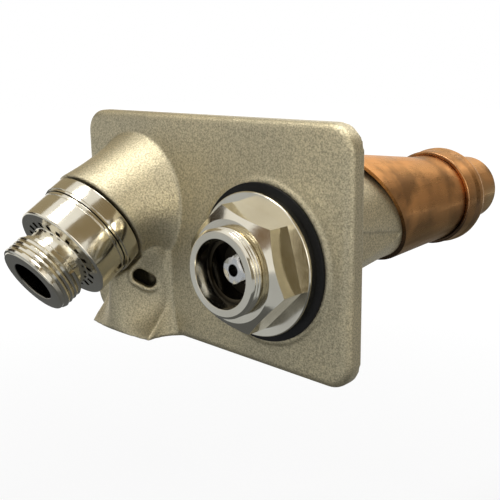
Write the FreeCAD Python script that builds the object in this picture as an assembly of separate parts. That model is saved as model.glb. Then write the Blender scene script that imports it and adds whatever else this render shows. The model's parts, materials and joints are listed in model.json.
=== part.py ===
import FreeCAD
import Part
import math
import os
from FreeCAD import Placement, Rotation, Vector

# Wall hydrant with a key-operated stem, a copper casing and a vacuum breaker on its outlet.
# Millimetres. X runs right seen from the front, Y runs into the wall and Z is up.
# The origin is in the wall face at the back of the plate, at mid width and at the stem's height.

# Face plate
plate_width = 120.0
plate_height = 77.0
plate_thickness = 6.0
plate_corner = 8.0
plate_edge_round = 2.4
stem_from_right = 32.5
stem_from_bottom = 34.0

# Outlet neck, which leans down from the plate
outlet_from_left = 24.3
outlet_height = 16.0
outlet_angle = 31.5
neck_length = 16.5
neck_radius = 18.9
neck_root_radius = 24.6
neck_root_shift = 3.2
neck_root_drop = 4.0
neck_flare = 2.2
neck_sections = 5
outlet_bore = 8.0

# Drain hood under the neck, half round above and square at its open foot
hood_shift = 1.5
hood_half_width = 17.5
hood_outer_width = 14.9
hood_spread = 4.8
hood_outer_spread = 0.8
hood_depth = 11.6
hood_lip = 0.9
hood_flare_height = 13.0
hood_waist_height = 20.0
hood_crown_height = 14.0
hood_wall = 2.6
hood_sections = 7
hood_breaker_gap = 0.9
slot_length = 8.6
slot_height = 4.8
slot_rim = 1.6
slot_rise = 0.9
slot_turn = 30.0
slot_facing = 44.0
slot_side = 10.2
slot_above_foot = 20.3

# Boss and waterway behind the plate
casing_rise = 6.2
boss_length = 44.0
boss_root_radius = 21.0
boss_spigot = 12.0
housing_wall = 3.2
bore_clearance = 0.3
boss_flat_side = 16.4
boss_flat_top = 8.0
boss_flat_slope = 0.16
boss_flat_start = 14.0
waterway_radius = 12.0
waterway_bore = 8.0
waterway_depth = 11.0
waterway_rise = 14.0

# Bonnet, its seat and the ring under its flange
seat_radius = 25.6
seat_height = 0.6
bezel_radius = 24.5
bezel_thickness = 1.0
flange_radius = 22.2
flange_thickness = 2.9
flange_bevel = 1.1
hex_across_flats = 34.0
hex_length = 9.7
hex_face_radius = 15.7
hex_turn = 15.0
mouth_radius = 12.6
mouth_length = 4.2
mouth_bore = 9.8
mouth_bore_depth = 5.2
mouth_edge = 0.7
groove_width = 0.8
groove_depth = 0.6
gland_bore = 8.6
gland_thread_depth = 12.3
packing_bore = 7.6
packing_depth = 5.0
bonnet_tail_radius = 13.9
bonnet_tail_length = 12.6
collar_bore = 9.2
collar_bore_depth = 5.0
gasket_thickness = 1.0
web_bore = 10.2
web_thickness = 4.0

# Stem, its seals and the rod behind it
stem_radius = 5.0
running_gap = 0.05
key_square = 7.8
key_setback = 5.6
key_length = 5.0
key_turn = 15.0
key_hole_radius = 1.8
key_hole_depth = 6.0
stem_collar_radius = 8.5
stem_collar_length = 3.0
washer_thickness = 0.7
face_gap = 0.1
sleeve_radius = 6.2
sleeve_length = 22.0
sleeve_bore_depth = 14.0
o_ring_section = 0.45
o_ring_sides = 8
o_ring_spacing = 3.0
pin_radius = 1.2
rod_radius = 4.76
rod_length = 57.0
joint_gap = 0.05

# Valve at the rear end
tang_thickness = 3.0
tang_length = 5.0
tang_width = 7.0
spindle_radius = 4.0
cartridge_radius = 8.2
cartridge_length = 26.0
cartridge_setback = 1.0
cartridge_front_wall = 4.0
cartridge_chamber = 6.6
window_width = 6.0
window_length = 6.0
drive_thickness = 2.0
disc_thickness = 3.0
disc_gap = 0.3
disc_port_inner = 1.8
disc_port_outer = 5.0
disc_port_angle = 76.0
seal_inner = 4.6
seal_depth = 4.0
valve_plug_length = 14.0
valve_flange = 3.0
valve_port = 5.6

# Copper casing and the reducing coupling
casing_radius = 16.8
casing_mouth_radius = 19.6
casing_mouth_lift = 2.0
casing_mouth_slope = 0.6
casing_mouth_level = 4.0
casing_wall = 1.4
casing_taper = 38.0
casing_length = 52.0
coupling_wall = 1.4
coupling_socket = 6.0
bead_rise = 0.6
bead_width = 6.0
reducer_length = 9.0
cup_bore = 11.15
cup_wall = 1.9
cup_length = 15.0
cup_stop = 3.0

# Vacuum breaker
band_radius = 18.5
band_length = 6.4
band_groove = 0.7
breaker_radius = 17.8
breaker_length = 11.4
breaker_wall = 2.4
breaker_face = 2.0
breaker_bevel = 0.8
spigot_neck_radius = 11.3
spigot_neck_length = 4.2
thread_radius = 13.3
thread_length = 9.0
thread_bevel = 0.9
spigot_bore = 7.6
seat_tube_radius = 9.6
diaphragm_thickness = 1.0
diaphragm_ledge = 1.4
inlet_bore = 6.5
inlet_tail_radius = 12.0
inlet_tail_length = 8.0
inlet_plug_length = 1.6
washer_rubber = 1.6
check_radius = 9.0
check_thickness = 1.5
check_travel = 1.5
check_guide_radius = 2.4
spring_wire = 0.5
spring_turns = 1.5
spring_top_radius = 4.2
spring_foot_radius = 7.0
spring_sections = 24
vent_count = 20
vent_width = 1.3
vent_margin = 0.5

# Places worked out from the sizes
plate_left = -plate_width / 2
stem_x = plate_width / 2 - stem_from_right
plate_bottom = -stem_from_bottom
plate_front = -plate_thickness
outlet_x = plate_left + outlet_from_left
lean = math.radians(outlet_angle)
outlet_direction = Vector(0, -math.cos(lean), -math.sin(lean))
outlet_crossing = Vector(outlet_x, plate_front, outlet_height)
neck_joint = outlet_crossing + outlet_direction * neck_length
hood_x = outlet_x + hood_shift
into_wall = Vector(0, 1, 0)
up = Vector(0, 0, 1)
stem_line = Placement(Vector(stem_x, 0, 0), Rotation(up, into_wall))
casing_line = Placement(Vector(stem_x, 0, casing_rise), Rotation(up, into_wall))
outlet_line = Placement(neck_joint, Rotation(up, outlet_direction))
embed = 1.0

# Stations along the stem axis, measured into the wall
seat_face = plate_front - seat_height
bezel_front = seat_face - bezel_thickness
flange_front = bezel_front - flange_thickness
hex_front = flange_front - hex_length
mouth_front = hex_front - mouth_length
gland_floor = mouth_front + gland_thread_depth
packing_floor = gland_floor + packing_depth
tail_end = bezel_front + bonnet_tail_length
collar_floor = tail_end - collar_bore_depth
gasket_back = tail_end + gasket_thickness
web_back = gasket_back + web_thickness
key_front = mouth_front + key_setback
key_back = key_front + key_length
collar_front = collar_floor + washer_thickness + face_gap
collar_back = collar_front + stem_collar_length
sleeve_back = collar_back + sleeve_length
rod_front = sleeve_back - sleeve_bore_depth + face_gap
rod_back = rod_front + rod_length

# Stations of the valve and the copper behind the plate
casing_front = boss_length
casing_back = casing_front + casing_length
cartridge_back = casing_back - cartridge_setback
cartridge_front = cartridge_back - cartridge_length
chamber_front = cartridge_front + cartridge_front_wall
plug_front = casing_back - valve_plug_length
plug_back = casing_back + valve_flange
seal_back = casing_back
fixed_back = cartridge_back - seal_depth
fixed_front = fixed_back - disc_thickness
rotor_front = fixed_front - running_gap - disc_thickness
drive_front = rotor_front - drive_thickness
casing_bore = casing_radius - casing_wall
boss_bore = casing_rise + cartridge_radius + bore_clearance
cup_radius = cup_bore + cup_wall
coupling_radius = casing_radius + joint_gap + coupling_wall
coupling_front = casing_back - coupling_socket
cup_front = plug_back + reducer_length
cup_back = cup_front + cup_length

# Stations along the outlet, measured from the neck's joint
outlet_rear = band_length + band_groove
outlet_face = outlet_rear + breaker_length
thread_start = outlet_face + spigot_neck_length
spigot_end = thread_start + thread_length
breaker_cavity = breaker_radius - breaker_wall
cavity_floor = outlet_face - breaker_face
plug_end = outlet_rear + inlet_plug_length
check_front = plug_end + face_gap
check_back = check_front + check_thickness
spring_height = spring_wire * (spring_turns + 1)
diaphragm_front = check_back + check_travel + spring_height + disc_gap
seat_tube_top = diaphragm_front + diaphragm_thickness


def placed(shape, line):
    moved = shape.copy()
    moved.Placement = line.multiply(moved.Placement)
    return moved


def turned(profile, line):
    # Revolves a closed outline of (radius, distance) corners about a line.
    corners = [Vector(radius, 0, distance) for radius, distance in profile]
    face = Part.Face(Part.makePolygon(corners + corners[:1]))
    solid = face.revolve(Vector(0, 0, 0), up, 360)
    if solid.Volume < 0:
        solid.reverse()
    return placed(solid, line)


def ring(inner, outer, start, end, line):
    return turned([(inner, start), (outer, start), (outer, end), (inner, end)], line)


def disc(radius, start, end, line):
    return turned([(0, start), (radius, start), (radius, end), (0, end)], line)


def prism(across, start, end, sides, turn):
    # A regular prism about the local Z axis, measured across its flats.
    reach = across / 2 / math.cos(math.pi / sides)
    angles = [math.radians(turn) + 2 * math.pi * side / sides for side in range(sides)]
    corners = [Vector(reach * math.cos(a), reach * math.sin(a), start) for a in angles]
    face = Part.Face(Part.makePolygon(corners + corners[:1]))
    return face.extrude(Vector(0, 0, end - start))


def obround(length, height, start, end):
    # A round-ended bar section along the local Z axis, long in local X.
    radius = height / 2
    half = length / 2 - radius
    rise = end - start
    bar = Part.makeBox(2 * half, height, rise, Vector(-half, -radius, start))
    for side in (-half, half):
        bar = bar.fuse(Part.makeCylinder(radius, rise, Vector(side, 0, start)))
    return bar.removeSplitter()


def face_plate():
    corner = Vector(plate_left, plate_front, plate_bottom)
    block = Part.makeBox(plate_width, plate_thickness, plate_height, corner)
    through = [edge for edge in block.Edges if abs(edge.tangentAt(0).y) > 0.5]
    block = block.makeFillet(plate_corner, through)
    near = plate_front + plate_edge_round / 2
    rim = [edge for edge in block.Edges if edge.BoundBox.YMax < near]
    return block.makeFillet(plate_edge_round, rim)


def outlet_neck():
    # Circles that shrink and lean from the plate to the joint with the breaker.
    root = outlet_crossing + Vector(neck_root_shift, embed, -neck_root_drop)
    wires = []
    for step in range(neck_sections):
        share = step / (neck_sections - 1)
        spread = (1 - share) ** neck_flare
        angle = lean * share
        centre = root + (neck_joint - root) * share
        radius = neck_radius + (neck_root_radius - neck_radius) * spread
        normal = Vector(0, -math.cos(angle), -math.sin(angle))
        wires.append(Part.Wire(Part.makeCircle(radius, centre, normal)))
    return Part.makeLoft(wires, True)


def hood_section(height, inset):
    # A level outline: a round column at the neck, a bell below it, square at the foot.
    flare = (plate_bottom + hood_flare_height - height) / hood_flare_height
    crown = (height - plate_bottom - hood_waist_height) / hood_crown_height
    square = max(0.0, min(1.0, flare)) ** 1.3
    round_share = max(0.0, min(1.0, crown))
    depth = hood_depth - inset
    halves = {-1: hood_outer_width - inset, 1: hood_half_width - inset}
    lip = hood_lip if inset == 0 else hood_lip / 3
    points = []
    for step in range(-4, 5):
        share = step / 4
        bell = lip + (depth - lip) * (1 + math.cos(math.pi * share)) / 2
        column = lip + (depth - lip) * math.sqrt(1 - share * share)
        box = depth * (1 - 0.1 * share * share)
        reach = bell + (box - bell) * square + (column - bell) * round_share
        half = halves[1 if share > 0 else -1]
        points.append(Vector(hood_x + half * share, plate_front - reach, height))
    front = Part.BSplineCurve()
    front.interpolate(points)
    right_side, right_back = hood_side(points[-1], 1, inset)
    left_side, left_back = hood_side(points[0], -1, inset)
    back = Part.makeLine(right_back, left_back)
    return Part.Wire(Part.__sortEdges__([front.toShape(), right_side, back, left_side]))


def hood_side(corner, side, inset):
    # From a front corner back to the plate, hollowed like a fillet on the outside.
    if inset > 0:
        foot = Vector(corner.x, plate_front, corner.z)
        return Part.makeLine(corner, foot), foot
    spread = hood_spread if side > 0 else -hood_outer_spread
    foot = Vector(corner.x + spread, plate_front + embed, corner.z)
    middle = Vector(corner.x + spread / 4, plate_front + (corner.y - plate_front) / 3, corner.z)
    curve = Part.BSplineCurve()
    curve.interpolate([corner, middle, foot])
    return curve.toShape(), foot


def hood_form(top, foot, inset):
    steps = hood_sections - 1
    heights = [top + (foot - top) * step / steps for step in range(hood_sections)]
    return Part.makeLoft([hood_section(height, inset) for height in heights], True)


def slot_line():
    facing = math.radians(slot_facing)
    turn = math.radians(slot_turn)
    outward = Vector(math.cos(facing), -math.sin(facing), 0)
    level = Vector(math.sin(facing), math.cos(facing), 0)
    long_way = level * math.cos(turn) - up * math.sin(turn)
    short_way = outward.cross(long_way)
    share = slot_side / hood_half_width
    depth = hood_lip + (hood_depth - hood_lip) * (1 + math.cos(math.pi * share)) / 2
    centre = Vector(hood_x + slot_side, plate_front - depth, plate_bottom + slot_above_foot)
    return Placement(centre, Rotation(long_way, short_way, outward, "ZXY"))


def drain_hood():
    top = neck_joint.z - neck_radius / 2
    hood = hood_form(top, plate_bottom, 0.0)
    rim = obround(slot_length + 2 * slot_rim, slot_height + 2 * slot_rim, -hood_depth / 4, slot_rise)
    hood = hood.fuse(placed(rim, slot_line()))
    room = disc(band_radius + hood_breaker_gap, 0, spigot_end, outlet_line)
    return hood.cut(room)


def hood_hollow():
    top = plate_bottom + slot_above_foot + slot_height / 2
    hollow = hood_form(top, plate_bottom - embed, hood_wall)
    hole = obround(slot_length, slot_height, -hood_depth / 2, slot_rise + embed)
    return hollow.fuse(placed(hole, slot_line()))


def casing_circle(station, inset):
    # The casing's round section at a station: it narrows and drops towards its straight part.
    share = min(1.0, (station - casing_front) / casing_taper)
    radius = casing_mouth_radius + (casing_radius - casing_mouth_radius) * share - inset
    centre = Vector(stem_x, station, casing_rise + casing_mouth_lift * (1 - share))
    return Part.Wire(Part.makeCircle(radius, centre, into_wall))


def casing_form(front, back, inset):
    # The filled form of the casing between two stations, shrunk by the inset.
    taper_back = min(back, casing_front + casing_taper)
    form = Part.makeLoft([casing_circle(front, inset), casing_circle(taper_back, inset)], True, True)
    if back > taper_back:
        form = form.fuse(disc(casing_radius - inset, taper_back, back, casing_line))
    return form


def rear_boss():
    fit = casing_wall + joint_gap
    root = Part.Wire(Part.makeCircle(boss_root_radius, Vector(stem_x, 0, casing_rise), into_wall))
    boss = Part.makeLoft([root, casing_circle(casing_front, fit)], True, True)
    foot = disc(boss_root_radius, -embed, 0, casing_line)
    boss = boss.multiFuse([foot, casing_form(casing_front, boss_length + boss_spigot, fit)])
    for side in (-1, 1):
        boss = boss.cut(boss_flat(side))
    return boss


def boss_flat(side):
    # A flat on the lower side of the boss, with a ledge that falls towards its end.
    low = casing_rise - boss_root_radius - embed
    fall = boss_flat_slope * (boss_length - boss_flat_start)
    across = stem_x + side * boss_flat_side
    outline = [
        Vector(across, boss_flat_start, low),
        Vector(across, boss_length, low),
        Vector(across, boss_length, boss_flat_top - fall),
        Vector(across, boss_flat_start, boss_flat_top),
    ]
    face = Part.Face(Part.makePolygon(outline + outline[:1]))
    return face.extrude(Vector(side * boss_root_radius, 0, 0))


def waterway_ends():
    run = (waterway_depth - plate_front) / outlet_direction.y
    return Vector(stem_x, waterway_depth, waterway_rise), outlet_crossing + outlet_direction * run


def waterway(radius):
    # A cross duct from the boss to the back of the outlet, with a round end.
    start, end = waterway_ends()
    path = end - start
    duct = Part.makeCylinder(radius, path.Length, start, path)
    fall = (outlet_crossing - end).Length + plate_thickness
    drop = Part.makeCylinder(radius, fall, end, outlet_direction)
    return duct.multiFuse([Part.makeSphere(radius, end), drop])


def duct_footing(start, end):
    # Straight sides that carry a stretch of the duct down to the plate, round at its end.
    path = end - start
    across = Vector(-path.z, 0, path.x).normalize() * waterway_radius
    outline = [start + across, end + across, end - across, start - across]
    face = Part.Face(Part.makePolygon(outline + outline[:1]))
    towards_plate = Vector(0, -waterway_depth - embed, 0)
    round_end = Part.makeCylinder(waterway_radius, towards_plate.Length, end, towards_plate)
    return face.extrude(towards_plate).fuse(round_end)


def waterway_footings():
    start, end = waterway_ends()
    landing = outlet_crossing + outlet_direction * (-plate_front / outlet_direction.y)
    below = Vector(landing.x, waterway_depth, landing.z)
    return [duct_footing(start, end), duct_footing(end, below)]


def head_casting():
    seat = disc(seat_radius, seat_face, plate_front + embed, stem_line)
    housing = disc(bonnet_tail_radius + housing_wall, -embed, web_back + web_thickness / 2, stem_line)
    duct = [waterway(waterway_radius)] + waterway_footings()
    body = face_plate().multiFuse([outlet_neck(), drain_hood(), rear_boss(), housing, seat] + duct)
    reach = (neck_joint - waterway_ends()[1]).Length
    holes = [
        waterway(waterway_bore),
        disc(bonnet_tail_radius + joint_gap, seat_face - embed, gasket_back, stem_line),
        disc(web_bore, gasket_back - embed, web_back + embed, stem_line),
        disc(boss_bore, web_back, boss_length + boss_spigot + embed, casing_line),
        disc(inlet_tail_radius + joint_gap, -inlet_tail_length - washer_rubber, embed, outlet_line),
        disc(outlet_bore, -reach, embed, outlet_line),
        hood_hollow(),
    ]
    for hole in holes:
        body = body.cut(hole)
    return body.removeSplitter()


def bezel_ring():
    return ring(bonnet_tail_radius + joint_gap, bezel_radius, bezel_front, seat_face, stem_line)


def bonnet():
    half_corner = hex_across_flats / math.sqrt(3)
    chamfer = (half_corner - hex_face_radius) * math.tan(math.radians(30))
    limit = [
        (0, hex_front),
        (hex_face_radius, hex_front),
        (half_corner, hex_front + chamfer),
        (half_corner, flange_front + flange_bevel),
        (0, flange_front + flange_bevel),
    ]
    hexagon = prism(hex_across_flats, hex_front - embed, bezel_front, 6, hex_turn)
    hexagon = hexagon.common(turned(limit, Placement()))
    crests = [mouth_front + mouth_length * share for share in (0.3, 0.62)]
    outside = [(mouth_bore, mouth_front), (mouth_radius - mouth_edge, mouth_front)]
    outside.append((mouth_radius, mouth_front + mouth_edge))
    for crest in crests:
        outside.append((mouth_radius, crest))
        outside.append((mouth_radius - groove_depth, crest + groove_width / 2))
        outside.append((mouth_radius, crest + groove_width))
    outside += [
        (mouth_radius, hex_front),
        (hex_face_radius - mouth_edge, hex_front),
        (hex_face_radius - mouth_edge, flange_front),
        (flange_radius - flange_bevel, flange_front),
        (flange_radius, flange_front + flange_bevel),
        (flange_radius, bezel_front),
        (bonnet_tail_radius, bezel_front),
        (bonnet_tail_radius, tail_end),
        (collar_bore, tail_end),
        (collar_bore, collar_floor),
        (stem_radius + running_gap, collar_floor),
        (stem_radius + running_gap, packing_floor),
        (packing_bore, packing_floor),
        (packing_bore, gland_floor),
        (gland_bore, gland_floor),
        (gland_bore, mouth_front + mouth_bore_depth),
        (mouth_bore, mouth_front + mouth_bore_depth),
    ]
    bored = disc(mouth_radius, mouth_front - embed, tail_end, Placement())
    body = turned(outside, Placement()).fuse(hexagon.cut(bored))
    return placed(body.removeSplitter(), stem_line)


def bonnet_gasket():
    return ring(collar_bore, bonnet_tail_radius, tail_end, gasket_back, stem_line)


def gland_nut():
    nose = packing_depth / 5
    outline = [
        (stem_radius + disc_gap, key_back),
        (gland_bore - joint_gap, key_back),
        (gland_bore - joint_gap, gland_floor),
        (packing_bore - joint_gap, gland_floor),
        (packing_bore - joint_gap, gland_floor + nose),
        (stem_radius + disc_gap, gland_floor + nose),
    ]
    nut = turned(outline, Placement())
    corner = Vector(-gland_bore, -key_hole_radius / 2, key_back)
    notch = Part.makeBox(2 * gland_bore, key_hole_radius, nose, corner)
    return placed(nut.cut(notch), stem_line)


def stem_packing():
    front = gland_floor + packing_depth / 5
    return ring(stem_radius + running_gap, packing_bore - joint_gap, front, packing_floor, stem_line)


def thrust_washer():
    back = collar_floor + washer_thickness
    return ring(stem_radius + disc_gap, collar_bore - disc_gap, collar_floor, back, stem_line)


def o_ring_places():
    middle = (packing_floor + collar_floor) / 2
    return [middle - o_ring_spacing / 2, middle + o_ring_spacing / 2]


def operating_stem():
    groove_floor = stem_radius - 2 * (o_ring_section + running_gap)
    groove_half = o_ring_section + running_gap
    bore = rod_radius + joint_gap
    outline = [(0, key_front), (stem_radius, key_front)]
    for place in o_ring_places():
        outline.append((stem_radius, place - groove_half))
        outline.append((groove_floor, place - groove_half))
        outline.append((groove_floor, place + groove_half))
        outline.append((stem_radius, place + groove_half))
    outline += [
        (stem_radius, collar_front),
        (stem_collar_radius, collar_front),
        (stem_collar_radius, collar_back),
        (sleeve_radius, collar_back),
        (sleeve_radius, sleeve_back),
        (bore, sleeve_back),
        (bore, rod_front - face_gap),
        (0, rod_front - face_gap),
    ]
    stem = turned(outline, Placement())
    outer = disc(2 * stem_radius, key_front - embed, key_back, Placement())
    square = prism(key_square, key_front - embed, key_back, 4, key_turn)
    stem = stem.cut(outer.cut(square))
    stem = stem.cut(disc(key_hole_radius, key_front - embed, key_front + key_hole_depth, Placement()))
    return placed(stem, stem_line).cut(pin_hole())


def pin_place():
    return sleeve_back - sleeve_bore_depth / 2


def pin_hole():
    radius = pin_radius + joint_gap
    start = Vector(stem_x - 2 * sleeve_radius, pin_place(), 0)
    return Part.makeCylinder(radius, 4 * sleeve_radius, start, Vector(1, 0, 0))


def stem_pin():
    half = sleeve_radius - face_gap
    return Part.makeCylinder(pin_radius, 2 * half, Vector(stem_x - half, pin_place(), 0), Vector(1, 0, 0))


def o_ring(radius, place):
    # A round rubber ring, its section drawn with a few sides.
    angles = [2 * math.pi * (side + 0.5) / o_ring_sides for side in range(o_ring_sides)]
    profile = [(radius + o_ring_section * math.cos(a), place + o_ring_section * math.sin(a)) for a in angles]
    return turned(profile, stem_line)


def stem_o_rings():
    middle = stem_radius - o_ring_section - running_gap
    return Part.makeCompound([o_ring(middle, place) for place in o_ring_places()])


def operating_rod():
    bar = disc(rod_radius, rod_front, rod_back, Placement())
    gap = tang_thickness + 2 * joint_gap
    reach = tang_length + face_gap
    corner = Vector(-gap / 2, -2 * rod_radius, rod_back - reach)
    slot = Part.makeBox(gap, 4 * rod_radius, reach + embed, corner)
    return placed(bar.cut(slot), stem_line).cut(pin_hole())


def cartridge_spindle():
    bar = disc(spindle_radius, rod_back, drive_front, Placement())
    drive = disc(cartridge_chamber - disc_gap, drive_front, rotor_front, Placement())
    tang_front = rod_back - tang_length
    tang = Part.makeBox(
        tang_thickness,
        tang_width,
        tang_length,
        Vector(-tang_thickness / 2, -tang_width / 2, tang_front),
    )
    key = Part.makeBox(
        tang_thickness,
        2 * disc_port_outer,
        disc_thickness / 2,
        Vector(-tang_thickness / 2, -disc_port_outer, rotor_front),
    )
    spindle = bar.multiFuse([drive, tang, key])
    for port in ports(drive_front - embed, rotor_front + disc_thickness):
        spindle = spindle.cut(port)
    return placed(spindle.removeSplitter(), stem_line)


def ports(start, end):
    # Two sector openings on opposite sides, clear of the key between them.
    sectors = []
    profile = [
        Vector(disc_port_inner, 0, start),
        Vector(disc_port_outer, 0, start),
        Vector(disc_port_outer, 0, end),
        Vector(disc_port_inner, 0, end),
    ]
    face = Part.Face(Part.makePolygon(profile + profile[:1]))
    for middle in (0, 180):
        sector = face.revolve(Vector(0, 0, 0), up, disc_port_angle)
        sector.rotate(Vector(0, 0, 0), up, middle - disc_port_angle / 2)
        sectors.append(sector)
    return sectors


def rotating_disc():
    plate = disc(cartridge_chamber - disc_gap, rotor_front, rotor_front + disc_thickness, Placement())
    gap = tang_thickness + 2 * joint_gap
    wide = 2 * (disc_port_outer + joint_gap)
    corner = Vector(-gap / 2, -wide / 2, rotor_front)
    key_room = Part.makeBox(gap, wide, disc_thickness / 2 + joint_gap, corner)
    plate = plate.cut(key_room)
    for port in ports(rotor_front - embed, fixed_front + embed):
        plate = plate.cut(port)
    return placed(plate, stem_line)


def fixed_disc():
    plate = disc(cartridge_chamber - joint_gap, fixed_front, fixed_back, Placement())
    for port in ports(fixed_front - embed, fixed_back + embed):
        plate = plate.cut(port)
    plate.rotate(Vector(0, 0, 0), up, 90)
    return placed(plate, stem_line)


def seat_seal():
    return ring(seal_inner, cartridge_chamber - joint_gap, fixed_back, seal_back, stem_line)


def cartridge_groove():
    return (plug_front + casing_back) / 2


def cartridge_body():
    groove_half = o_ring_section * 2 + running_gap
    groove_floor = cartridge_radius - groove_half
    middle = cartridge_groove()
    outline = [
        (rod_radius + running_gap, cartridge_front),
        (cartridge_radius, cartridge_front),
        (cartridge_radius, middle - groove_half),
        (groove_floor, middle - groove_half),
        (groove_floor, middle + groove_half),
        (cartridge_radius, middle + groove_half),
        (cartridge_radius, cartridge_back),
        (cartridge_chamber, cartridge_back),
        (cartridge_chamber, chamber_front),
        (rod_radius + running_gap, chamber_front),
    ]
    body = turned(outline, Placement())
    window = Part.makeBox(
        4 * cartridge_radius,
        window_width,
        window_length,
        Vector(-2 * cartridge_radius, -window_width / 2, chamber_front),
    )
    return placed(body.cut(window), stem_line)


def cartridge_o_ring():
    return o_ring(cartridge_radius - o_ring_section - running_gap, cartridge_groove())


def valve_body():
    plug_radius = casing_bore - joint_gap
    flange = casing_radius
    outline = [
        (0, plug_front),
        (plug_radius, plug_front),
        (plug_radius, casing_back),
        (flange, casing_back),
        (flange, plug_back),
        (0, plug_back),
    ]
    body = turned(outline, casing_line)
    body = body.cut(disc(cartridge_radius + joint_gap, plug_front - embed, casing_back, stem_line))
    return body.cut(disc(valve_port, casing_back - embed, plug_back + embed, stem_line))


def casing_tube():
    # Its mouth is cut aslant, so that it covers more of the boss above than below.
    reach = 2 * casing_mouth_radius
    lean = casing_mouth_slope * reach
    front = casing_front - lean
    outline = [
        Vector(stem_x - reach, front, casing_mouth_level - reach),
        Vector(stem_x - reach, casing_front + lean, casing_mouth_level - reach),
        Vector(stem_x - reach, front, casing_mouth_level + reach),
    ]
    ahead = Part.Face(Part.makePolygon(outline + outline[:1])).extrude(Vector(2 * reach, 0, 0))
    tube = casing_form(front, casing_back, 0.0).cut(casing_form(front, casing_back, casing_wall))
    return tube.cut(ahead)


def inlet_coupling():
    socket = casing_radius + joint_gap
    shoulder = plug_back
    bead_back = shoulder + bead_width / 2
    bead_front = shoulder - bead_width / 2
    bead_crest = coupling_radius + bead_rise
    stop_bore = cup_bore - cup_wall / 2
    outline = [
        (socket, coupling_front),
        (coupling_radius, coupling_front),
        (coupling_radius, bead_front),
        (bead_crest, shoulder - bead_width / 6),
        (bead_crest, shoulder + bead_width / 6),
        (coupling_radius, bead_back),
        (cup_radius, cup_front),
        (cup_radius, cup_back),
        (cup_bore, cup_back),
        (cup_bore, cup_front + cup_stop),
        (stop_bore, cup_front + cup_stop),
        (stop_bore, cup_front),
        (socket - cup_wall, shoulder),
        (socket, shoulder),
    ]
    return turned(outline, casing_line)


def breaker_inlet():
    tail_start = -inlet_tail_length
    outline = [
        (inlet_bore, tail_start),
        (inlet_tail_radius, tail_start),
        (inlet_tail_radius, 0),
        (band_radius - breaker_bevel, 0),
        (band_radius, breaker_bevel),
        (band_radius, band_length - breaker_bevel),
        (band_radius - breaker_bevel, band_length),
        (breaker_radius - band_groove, band_length),
        (breaker_radius - band_groove, outlet_rear),
        (breaker_cavity - joint_gap, outlet_rear),
        (breaker_cavity - joint_gap, plug_end),
        (inlet_bore, plug_end),
    ]
    return turned(outline, outlet_line)


def breaker_outlet():
    ledge_radius = breaker_cavity - diaphragm_ledge
    outline = [
        (breaker_cavity, outlet_rear),
        (breaker_radius - breaker_bevel, outlet_rear),
        (breaker_radius, outlet_rear + breaker_bevel),
        (breaker_radius, outlet_face - breaker_bevel),
        (breaker_radius - breaker_bevel, outlet_face),
        (spigot_neck_radius, outlet_face),
        (spigot_neck_radius, thread_start),
        (thread_radius - thread_bevel, thread_start),
        (thread_radius, thread_start + thread_bevel),
        (thread_radius, spigot_end - thread_bevel),
        (thread_radius - thread_bevel, spigot_end),
        (spigot_bore, spigot_end),
        (spigot_bore, seat_tube_top),
        (seat_tube_radius, seat_tube_top),
        (seat_tube_radius, cavity_floor),
        (ledge_radius, cavity_floor),
        (ledge_radius, seat_tube_top),
        (breaker_cavity, seat_tube_top),
    ]
    body = turned(outline, Placement())
    inner = spigot_neck_radius + vent_margin
    outer = ledge_radius
    vent = Part.makeBox(outer - inner, vent_width, breaker_face + 2 * embed)
    vent.translate(Vector(inner, -vent_width / 2, cavity_floor - embed))
    vents = []
    for number in range(vent_count):
        slot = vent.copy()
        slot.rotate(Vector(0, 0, 0), up, 360 * (number + 0.5) / vent_count)
        vents.append(slot)
    return placed(body.cut(Part.makeCompound(vents)), outlet_line)


def breaker_washer():
    start = -inlet_tail_length - washer_rubber
    return ring(inlet_bore, inlet_tail_radius, start, -inlet_tail_length, outlet_line)


def breaker_diaphragm():
    outer = breaker_cavity - joint_gap
    return ring(spigot_bore, outer, diaphragm_front, seat_tube_top, outlet_line)


def check_disc():
    face = disc(check_radius, check_front, check_back, Placement())
    guide = disc(check_guide_radius, check_back, check_back + spring_height, Placement())
    return placed(face.fuse(guide).removeSplitter(), outlet_line)


def check_spring():
    # A conical coil under the disc, wider at its foot, lofted through sections of the wire.
    start = check_back + spring_wire / 2 + joint_gap
    rise = spring_height - spring_wire
    growth = spring_foot_radius - spring_top_radius
    sections = []
    for step in range(spring_sections + 1):
        share = step / spring_sections
        angle = 2 * math.pi * spring_turns * share
        radial = Vector(math.cos(angle), math.sin(angle), 0)
        around = Vector(-math.sin(angle), math.cos(angle), 0)
        radius = spring_top_radius + growth * share
        centre = radial * radius + up * (start + rise * share)
        heading = around * (2 * math.pi * spring_turns * radius) + radial * growth + up * rise
        across = heading.cross(radial).normalize()
        corners = []
        for side in range(6):
            turn = math.pi * side / 3
            corners.append(centre + (radial * math.cos(turn) + across * math.sin(turn)) * (spring_wire / 2))
        sections.append(Part.makePolygon(corners + corners[:1]))
    return placed(Part.makeLoft(sections, True, True), outlet_line)


pieces = {
    "head_casting": head_casting,
    "bezel_ring": bezel_ring,
    "bonnet": bonnet,
    "bonnet_gasket": bonnet_gasket,
    "gland_nut": gland_nut,
    "stem_packing": stem_packing,
    "thrust_washer": thrust_washer,
    "operating_stem": operating_stem,
    "stem_o_rings": stem_o_rings,
    "stem_pin": stem_pin,
    "operating_rod": operating_rod,
    "cartridge_spindle": cartridge_spindle,
    "rotating_disc": rotating_disc,
    "fixed_disc": fixed_disc,
    "seat_seal": seat_seal,
    "cartridge_body": cartridge_body,
    "cartridge_o_ring": cartridge_o_ring,
    "valve_body": valve_body,
    "casing_tube": casing_tube,
    "inlet_coupling": inlet_coupling,
    "breaker_inlet": breaker_inlet,
    "breaker_outlet": breaker_outlet,
    "breaker_washer": breaker_washer,
    "breaker_diaphragm": breaker_diaphragm,
    "check_disc": check_disc,
    "check_spring": check_spring,
}

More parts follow.
